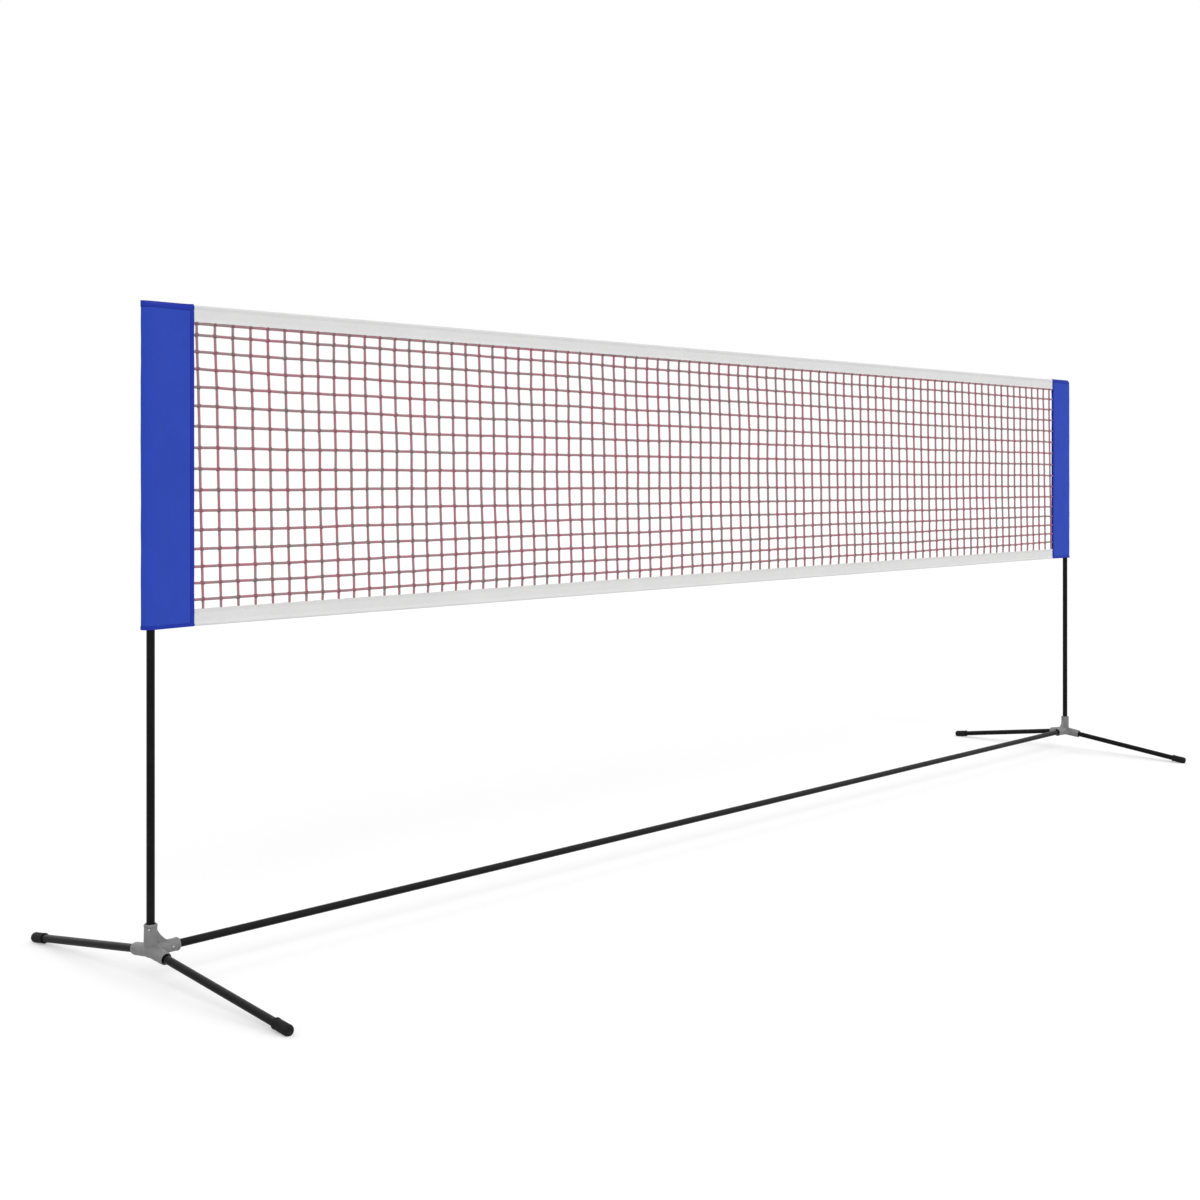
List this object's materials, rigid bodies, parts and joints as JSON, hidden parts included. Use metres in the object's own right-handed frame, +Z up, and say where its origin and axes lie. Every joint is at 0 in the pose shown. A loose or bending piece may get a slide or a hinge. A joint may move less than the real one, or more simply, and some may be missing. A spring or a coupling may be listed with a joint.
{
  "type": "portable sports net",
  "caption": "Free-standing portable sports net: square mesh with blue end sleeves and white edge tapes on telescopic poles, over a plug-together tube base with splayed legs.",
  "frame": {"origin": "on the floor, midway between the two poles", "axes": "+X along the net to the right-hand pole, +Y across the net to the back, +Z up"},
  "size_m": [4.4488, 1.0408, 1.55],
  "materials": {
    "black_tube": "satin",
    "grey_plastic": "satin",
    "black_plastic": "satin",
    "black_rubber": "matte",
    "steel_button": "satin",
    "blue_cloth": "matte",
    "white_tape": "matte",
    "tape_cord": "matte",
    "net_twine": "matte"
  },
  "bodies": {
    "base_frame": {"left_base_connector": "grey_plastic", "right_base_connector": "grey_plastic", "left_outer_bar": "black_tube", "left_inner_bar": "black_tube", "right_inner_bar": "black_tube", "right_outer_bar": "black_tube", "left_lower_pole": "black_tube", "right_lower_pole": "black_tube", "left_pole_lock": "black_plastic", "right_pole_lock": "black_plastic"},
    "left_front_leg": {"left_front_leg": "black_tube", "left_front_foot_cap": "black_rubber"},
    "left_back_leg": {"left_back_leg": "black_tube", "left_back_foot_cap": "black_rubber"},
    "right_front_leg": {"right_front_leg": "black_tube", "right_front_foot_cap": "black_rubber"},
    "right_back_leg": {"right_back_leg": "black_tube", "right_back_foot_cap": "black_rubber"},
    "left_lock_collar": {"left_lock_collar": "black_plastic"},
    "right_lock_collar": {"right_lock_collar": "black_plastic"},
    "left_upper_pole": {"left_upper_pole": "black_tube", "left_guide_bush": "black_plastic", "left_pole_cap": "black_plastic"},
    "right_upper_pole": {"right_upper_pole": "black_tube", "right_guide_bush": "black_plastic", "right_pole_cap": "black_plastic"},
    "net": {"netting": "net_twine", "top_band": "white_tape", "bottom_band": "white_tape", "top_band_cord": "tape_cord", "bottom_band_cord": "tape_cord", "left_sleeve": "blue_cloth", "right_sleeve": "blue_cloth"},
    "left_pole_button": {"left_pole_button": "steel_button"},
    "right_pole_button": {"right_pole_button": "steel_button"},
    "left_bar_button": {"left_bar_button": "steel_button"},
    "right_bar_button": {"right_bar_button": "steel_button"},
    "left_joint_button": {"left_joint_button": "steel_button"},
    "middle_joint_button": {"middle_joint_button": "steel_button"},
    "right_joint_button": {"right_joint_button": "steel_button"}
  },
  "joints": [
    {"name": "left_pole_slide", "type": "slide", "parent": "base_frame", "child": "left_upper_pole", "axis": [0, 0, 1], "range_m": [-0.59, 0]},
    {"name": "right_pole_slide", "type": "slide", "parent": "base_frame", "child": "right_upper_pole", "axis": [0, 0, 1], "range_m": [-0.59, 0]},
    {"name": "net_lift", "type": "slide", "parent": "left_upper_pole", "child": "net", "axis": [0, 0, 1], "range_m": [0, 0.76]},
    {"name": "left_lock_turn", "type": "hinge", "parent": "base_frame", "child": "left_lock_collar", "pos_m": [-2.2, 0, 0.84], "axis": [0, 0, 1], "range_deg": [0, 90]},
    {"name": "right_lock_turn", "type": "hinge", "parent": "base_frame", "child": "right_lock_collar", "pos_m": [2.2, 0, 0.84], "axis": [0, 0, 1], "range_deg": [0, 90]},
    {"name": "left_front_leg_pull", "type": "slide", "parent": "base_frame", "child": "left_front_leg", "axis": [0, -0.9915, -0.1301], "range_m": [0, 0.045]},
    {"name": "left_back_leg_pull", "type": "slide", "parent": "base_frame", "child": "left_back_leg", "axis": [0, 0.9915, -0.1301], "range_m": [0, 0.045]},
    {"name": "right_front_leg_pull", "type": "slide", "parent": "base_frame", "child": "right_front_leg", "axis": [0, -0.9915, -0.1301], "range_m": [0, 0.045]},
    {"name": "right_back_leg_pull", "type": "slide", "parent": "base_frame", "child": "right_back_leg", "axis": [0, 0.9915, -0.1301], "range_m": [0, 0.045]},
    {"name": "left_pole_button_press", "type": "slide", "parent": "base_frame", "child": "left_pole_button", "axis": [0.7071, 0.7071, 0], "range_m": [0, 0.0072], "stiffness_N_per_m": 800, "springref_m": -0.003},
    {"name": "right_pole_button_press", "type": "slide", "parent": "base_frame", "child": "right_pole_button", "axis": [-0.7071, -0.7071, 0], "range_m": [0, 0.0072], "stiffness_N_per_m": 800, "springref_m": -0.003},
    {"name": "left_bar_button_press", "type": "slide", "parent": "base_frame", "child": "left_bar_button", "axis": [0, 1, 0], "range_m": [0, 0.0072], "stiffness_N_per_m": 800, "springref_m": -0.003},
    {"name": "right_bar_button_press", "type": "slide", "parent": "base_frame", "child": "right_bar_button", "axis": [0, -1, 0], "range_m": [0, 0.0072], "stiffness_N_per_m": 800, "springref_m": -0.003},
    {"name": "left_joint_button_press", "type": "slide", "parent": "base_frame", "child": "left_joint_button", "axis": [0, -1, 0], "range_m": [0, 0.003], "stiffness_N_per_m": 800, "springref_m": -0.003},
    {"name": "middle_joint_button_press", "type": "slide", "parent": "base_frame", "child": "middle_joint_button", "axis": [0, -1, 0], "range_m": [0, 0.003], "stiffness_N_per_m": 800, "springref_m": -0.003},
    {"name": "right_joint_button_press", "type": "slide", "parent": "base_frame", "child": "right_joint_button", "axis": [0, -1, 0], "range_m": [0, 0.003], "stiffness_N_per_m": 800, "springref_m": -0.003}
  ],
  "couplings": [
    {"joint": "right_pole_slide", "follows": "left_pole_slide", "ratio": 1}
  ]
}
